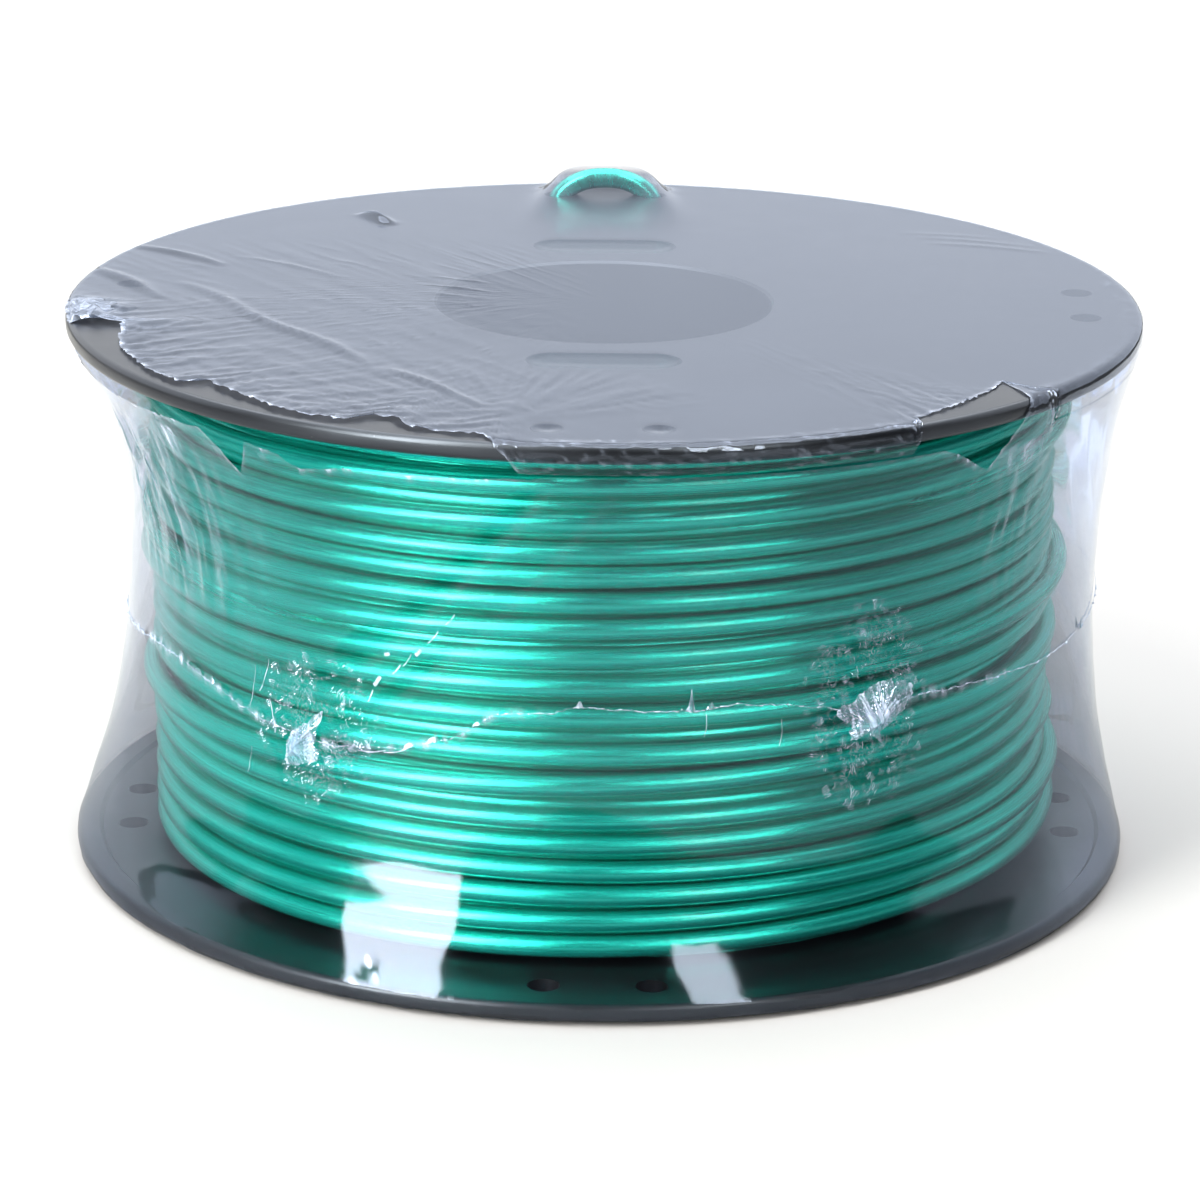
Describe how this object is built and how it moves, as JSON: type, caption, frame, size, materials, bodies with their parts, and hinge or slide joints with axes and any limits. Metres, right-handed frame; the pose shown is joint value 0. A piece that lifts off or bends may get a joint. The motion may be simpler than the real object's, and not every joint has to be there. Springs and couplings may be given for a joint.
{
  "type": "wire spool",
  "caption": "Plastic reel with two slotted flanges on a tube barrel, wound full of green sheathed wire and sealed in clear shrink film.",
  "frame": {"origin": "middle of the film under the spool, on the surface that the spool stands on", "axes": "+Z along the reel's axis, from the lower flange to the upper one; +Y towards the pair of tie holes that the wire's end is threaded through"},
  "size_m": [0.1662, 0.1662, 0.0921],
  "materials": {
    "reel_plastic": "black moulded polystyrene, semi-gloss",
    "wire_sheath": "translucent emerald green PVC sheath, satin gloss with fine drawn streaks",
    "shrink_film": "clear shrink film, glossy, wrinkled where it has shrunk"
  },
  "bodies": {
    "root": {"bottom_flange": "reel_plastic", "top_flange": "reel_plastic", "barrel_tube": "reel_plastic", "wire_layer_01": "wire_sheath", "wire_layer_02": "wire_sheath", "wire_layer_03": "wire_sheath", "wire_layer_04": "wire_sheath", "wire_layer_05": "wire_sheath", "wire_layer_06": "wire_sheath", "wire_layer_07": "wire_sheath", "wire_layer_08": "wire_sheath", "wire_layer_09": "wire_sheath", "wire_layer_10": "wire_sheath", "wire_layer_11": "wire_sheath", "wire_layer_12": "wire_sheath", "wire_layer_13": "wire_sheath", "wire_layer_14": "wire_sheath", "wire_end_loop": "wire_sheath", "film_top_sheet": "shrink_film", "film_sleeve_upper": "shrink_film", "film_sleeve_lower": "shrink_film", "film_bottom_sheet": "shrink_film", "film_seam": "shrink_film", "film_ear_left": "shrink_film", "film_ear_right": "shrink_film"}
  },
  "joints": []
}
